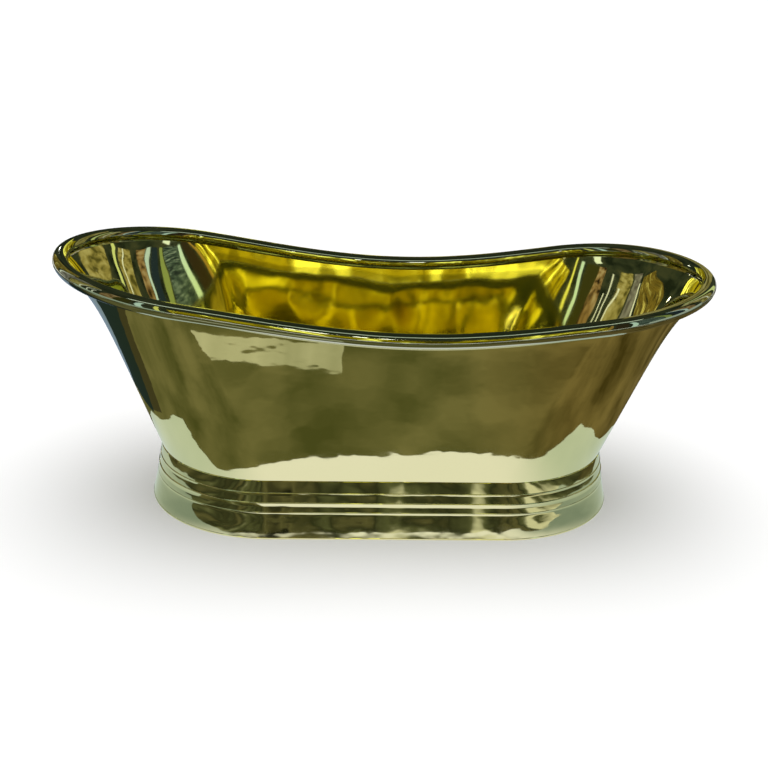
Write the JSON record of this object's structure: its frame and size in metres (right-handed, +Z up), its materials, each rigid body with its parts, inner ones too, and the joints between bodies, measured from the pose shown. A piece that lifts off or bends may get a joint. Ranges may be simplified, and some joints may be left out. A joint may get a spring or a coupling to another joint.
{
  "type": "freestanding roll-top bath",
  "caption": "Double-ended freestanding bath of polished brass sheet with raised ends and a rolled rim, on a moulded oval plinth with a lifting waste plug.",
  "frame": {"origin": "on the floor, under the middle of the bath", "axes": "+X along the bath towards its lower right end, +Y towards the rear, +Z up"},
  "size_m": [1.7, 0.73, 0.6735],
  "materials": {
    "polished_brass": "mirror polished",
    "waste_brass": "polished",
    "painted_steel": "satin black paint",
    "zinc_steel": "zinc plated",
    "felt": "wool felt",
    "foot_plastic": "moulded",
    "seal_rubber": "matte",
    "washer_nylon": "moulded"
  },
  "bodies": {
    "tub": {"back_nut": "waste_brass", "bearer_clips": "painted_steel", "clamp_washer": "washer_nylon", "flange_gasket": "seal_rubber", "floor_pan": "polished_brass", "foot_ring": "polished_brass", "frame_bolts": "zinc_steel", "front_left_foot_bush": "zinc_steel", "front_left_lock_nut": "zinc_steel", "front_rail": "painted_steel", "front_right_foot_bush": "zinc_steel", "front_right_lock_nut": "zinc_steel", "front_wall": "polished_brass", "inner_left_bearer": "painted_steel", "inner_left_felt": "felt", "inner_right_bearer": "painted_steel", "inner_right_felt": "felt", "left_end_wall": "polished_brass", "lower_bead": "polished_brass", "neck_band": "polished_brass", "outer_left_bearer": "painted_steel", "outer_left_felt": "felt", "outer_right_bearer": "painted_steel", "outer_right_felt": "felt", "plug_spider": "waste_brass", "rear_left_foot_bush": "zinc_steel", "rear_left_lock_nut": "zinc_steel", "rear_rail": "painted_steel", "rear_right_foot_bush": "zinc_steel", "rear_right_lock_nut": "zinc_steel", "rear_wall": "polished_brass", "right_end_wall": "polished_brass", "rim_roll_front": "polished_brass", "rim_roll_left": "polished_brass", "rim_roll_rear": "polished_brass", "rim_roll_right": "polished_brass", "skirt_front": "polished_brass", "skirt_rear": "polished_brass", "under_gasket": "seal_rubber", "upper_bead": "polished_brass", "waste_body": "waste_brass"},
    "front_left_foot": {"front_left_foot_pad": "foot_plastic", "front_left_foot_stud": "zinc_steel"},
    "front_right_foot": {"front_right_foot_pad": "foot_plastic", "front_right_foot_stud": "zinc_steel"},
    "rear_left_foot": {"rear_left_foot_pad": "foot_plastic", "rear_left_foot_stud": "zinc_steel"},
    "rear_right_foot": {"rear_right_foot_pad": "foot_plastic", "rear_right_foot_stud": "zinc_steel"},
    "plug": {"plug_cap": "waste_brass", "plug_seal": "seal_rubber", "plug_stem": "waste_brass", "stop_collar": "waste_brass"}
  },
  "joints": [
    {"name": "front_left_foot_screw", "type": "slide", "parent": "tub", "child": "front_left_foot", "axis": [0, 0, 1], "range_m": [-0.015, 0]},
    {"name": "front_right_foot_screw", "type": "slide", "parent": "tub", "child": "front_right_foot", "axis": [0, 0, 1], "range_m": [-0.015, 0]},
    {"name": "rear_left_foot_screw", "type": "slide", "parent": "tub", "child": "rear_left_foot", "axis": [0, 0, 1], "range_m": [-0.015, 0]},
    {"name": "rear_right_foot_screw", "type": "slide", "parent": "tub", "child": "rear_right_foot", "axis": [0, 0, 1], "range_m": [-0.015, 0]},
    {"name": "plug_lift", "type": "slide", "parent": "tub", "child": "plug", "axis": [0, 0, 1], "range_m": [0, 0.008]}
  ]
}
